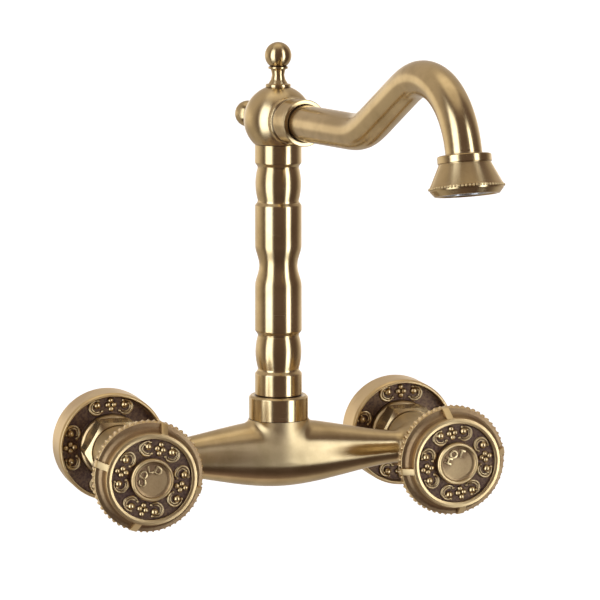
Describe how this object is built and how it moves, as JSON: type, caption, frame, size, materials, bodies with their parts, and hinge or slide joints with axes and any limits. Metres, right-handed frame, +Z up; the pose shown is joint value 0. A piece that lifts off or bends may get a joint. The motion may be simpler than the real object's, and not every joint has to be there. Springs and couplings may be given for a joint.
{
  "type": "bathroom mixer faucet",
  "caption": "Wall-mounted two-handle bath mixer in antique brass, with a turned riser, a swivelling swan-neck spout, round wheel handles and round wall roses.",
  "frame": {"origin": "on the finished wall, midway between the two inlets, at the height of the inlet axes", "axes": "+X to the right of a person facing the tap (hot side), -Y out of the wall towards the user, +Z up; the wall is the plane Y = 0"},
  "size_m": [0.204, 0.2781, 0.2272],
  "materials": {
    "antique_brass": "antiqued and brushed, satin, dark in the recesses",
    "raw_brass": "machined, unplated",
    "stainless": "machined",
    "rubber": "matt black",
    "ceramic": "lapped alumina",
    "plastic": "moulded acetal"
  },
  "bodies": {
    "fixed_body": {"mixer_body": "antique_brass", "riser_collar": "antique_brass", "riser_grub_screw": "stainless", "cold_wall_union": "raw_brass", "cold_escutcheon": "antique_brass", "cold_union_nut": "antique_brass", "cold_inlet_washer": "rubber", "cold_seat_seal": "rubber", "cold_fixed_disc": "ceramic", "cold_cartridge_body": "raw_brass", "cold_bonnet_gasket": "rubber", "cold_bonnet_sleeve": "antique_brass", "hot_wall_union": "raw_brass", "hot_escutcheon": "antique_brass", "hot_union_nut": "antique_brass", "hot_inlet_washer": "rubber", "hot_seat_seal": "rubber", "hot_fixed_disc": "ceramic", "hot_cartridge_body": "raw_brass", "hot_bonnet_gasket": "rubber", "hot_bonnet_sleeve": "antique_brass"},
    "cold_handle": {"cold_handle_wheel": "antique_brass", "cold_handle_screw": "stainless", "cold_index_button": "antique_brass", "cold_spindle": "raw_brass", "cold_moving_disc": "ceramic", "cold_circlip": "stainless"},
    "hot_handle": {"hot_handle_wheel": "antique_brass", "hot_handle_screw": "stainless", "hot_index_button": "antique_brass", "hot_spindle": "raw_brass", "hot_moving_disc": "ceramic", "hot_circlip": "stainless"},
    "spout": {"riser_column": "antique_brass", "riser_oring_upper": "rubber", "riser_oring_lower": "rubber", "ball_head": "antique_brass", "top_finial": "antique_brass", "rear_finial": "antique_brass", "spout_collar": "antique_brass", "spout_tube": "antique_brass", "nozzle_bell": "antique_brass", "aerator_washer": "rubber", "aerator_housing": "stainless", "aerator_core": "plastic"}
  },
  "joints": [
    {"name": "spout_swivel", "type": "hinge", "parent": "fixed_body", "child": "spout", "pos_m": [0, -0.052, 0], "axis": [0, 0, 1], "range_deg": [-99, 81]},
    {"name": "cold_valve", "type": "hinge", "parent": "fixed_body", "child": "cold_handle", "pos_m": [-0.075, -0.09, 0], "axis": [0, -1, 0], "range_deg": [0, 90]},
    {"name": "hot_valve", "type": "hinge", "parent": "fixed_body", "child": "hot_handle", "pos_m": [0.075, -0.09, 0], "axis": [0, -1, 0], "range_deg": [-90, 0]}
  ]
}
